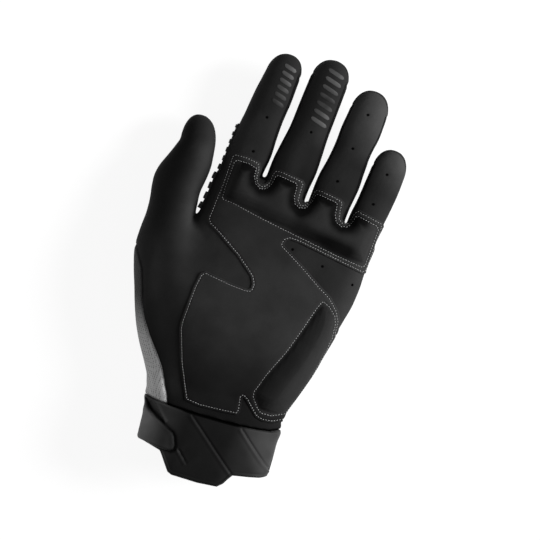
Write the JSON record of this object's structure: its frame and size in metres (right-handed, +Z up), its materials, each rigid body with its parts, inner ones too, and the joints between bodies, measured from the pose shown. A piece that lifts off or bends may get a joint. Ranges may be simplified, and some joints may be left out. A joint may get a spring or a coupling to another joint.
{
  "type": "motocross glove",
  "caption": "Full-finger riding glove for the left hand, with padded palm overlay, grey mesh wrist gusset, moulded cuff and hook-and-loop strap.",
  "frame": {"origin": "middle of the bounding box in plan, at the height of the lowest face", "axes": "+Z up out of the palm, +Y from the cuff to the fingertips, +X towards the little finger; the glove lies on its back"},
  "size_m": [0.1278, 0.2398, 0.041],
  "materials": {
    "leather": "matt synthetic suede leather, palm and finger fronts",
    "knit": "stretch knit, back of hand, finger backs and side strips",
    "mesh": "light grey perforated stretch mesh",
    "foam": "open-cell padding foam, inside",
    "moulded_rubber": "satin moulded thermoplastic rubber",
    "cuff_rubber": "moulded rubber on neoprene",
    "hook": "nylon hook tape",
    "loop": "brushed loop tape"
  },
  "bodies": {
    "hand": {"palm_panel": "leather", "back_panel": "knit", "wrist_gusset": "mesh", "thumb_back_panel": "knit", "index_back_panel": "knit", "middle_back_panel": "knit", "ring_back_panel": "knit", "little_back_panel": "knit", "index_middle_side_strip": "knit", "middle_ring_side_strip": "knit", "ring_little_side_strip": "knit", "palm_overlay": "leather", "finger_base_foam": "foam", "heel_foam": "foam", "knuckle_guard": "moulded_rubber", "index_rib_strip": "moulded_rubber", "cuff_palm": "cuff_rubber", "cuff_back": "cuff_rubber", "loop_patch": "loop", "strap_anchor": "cuff_rubber"},
    "strap": {"closure_strap": "cuff_rubber", "hook_patch": "hook"},
    "index_tip": {"index_tip_front": "leather", "index_tip_back": "knit", "index_tip_side_middle": "knit"},
    "middle_tip": {"middle_tip_front": "leather", "middle_tip_back": "knit", "middle_tip_side_index": "knit", "middle_tip_side_ring": "knit"},
    "ring_tip": {"ring_tip_front": "leather", "ring_tip_back": "knit", "ring_tip_side_middle": "knit", "ring_tip_side_little": "knit"},
    "little_tip": {"little_tip_front": "leather", "little_tip_back": "knit", "little_tip_side_ring": "knit"},
    "thumb_tip": {"thumb_tip_front": "leather", "thumb_tip_back": "knit"}
  },
  "joints": [
    {"name": "index_bend", "type": "hinge", "parent": "hand", "child": "index_tip", "pos_m": [-0.01926, 0.07175, 0.02448], "axis": [0.9983, -0.0576, 0], "range_deg": [0, 80], "stiffness_Nm_per_rad": 0.01},
    {"name": "middle_bend", "type": "hinge", "parent": "hand", "child": "middle_tip", "pos_m": [0.00661, 0.07475, 0.02473], "axis": [0.9983, -0.0576, 0], "range_deg": [0, 80], "stiffness_Nm_per_rad": 0.01},
    {"name": "ring_bend", "type": "hinge", "parent": "hand", "child": "ring_tip", "pos_m": [0.03188, 0.06975, 0.02408], "axis": [0.9983, -0.0576, 0], "range_deg": [0, 80], "stiffness_Nm_per_rad": 0.01},
    {"name": "little_bend", "type": "hinge", "parent": "hand", "child": "little_tip", "pos_m": [0.05368, 0.06175, 0.02288], "axis": [0.9983, -0.0576, 0], "range_deg": [0, 80], "stiffness_Nm_per_rad": 0.01},
    {"name": "thumb_bend", "type": "hinge", "parent": "hand", "child": "thumb_tip", "pos_m": [-0.04609, 0.03875, 0.02606], "axis": [0.9659, 0, -0.2588], "range_deg": [0, 50], "stiffness_Nm_per_rad": 0.01},
    {"name": "strap_peel", "type": "hinge", "parent": "hand", "child": "strap", "pos_m": [-0.02568, -0.09325, 0.01275], "axis": [0.2311, -0.9729, 0], "range_deg": [0, 95], "stiffness_Nm_per_rad": 0.002}
  ]
}
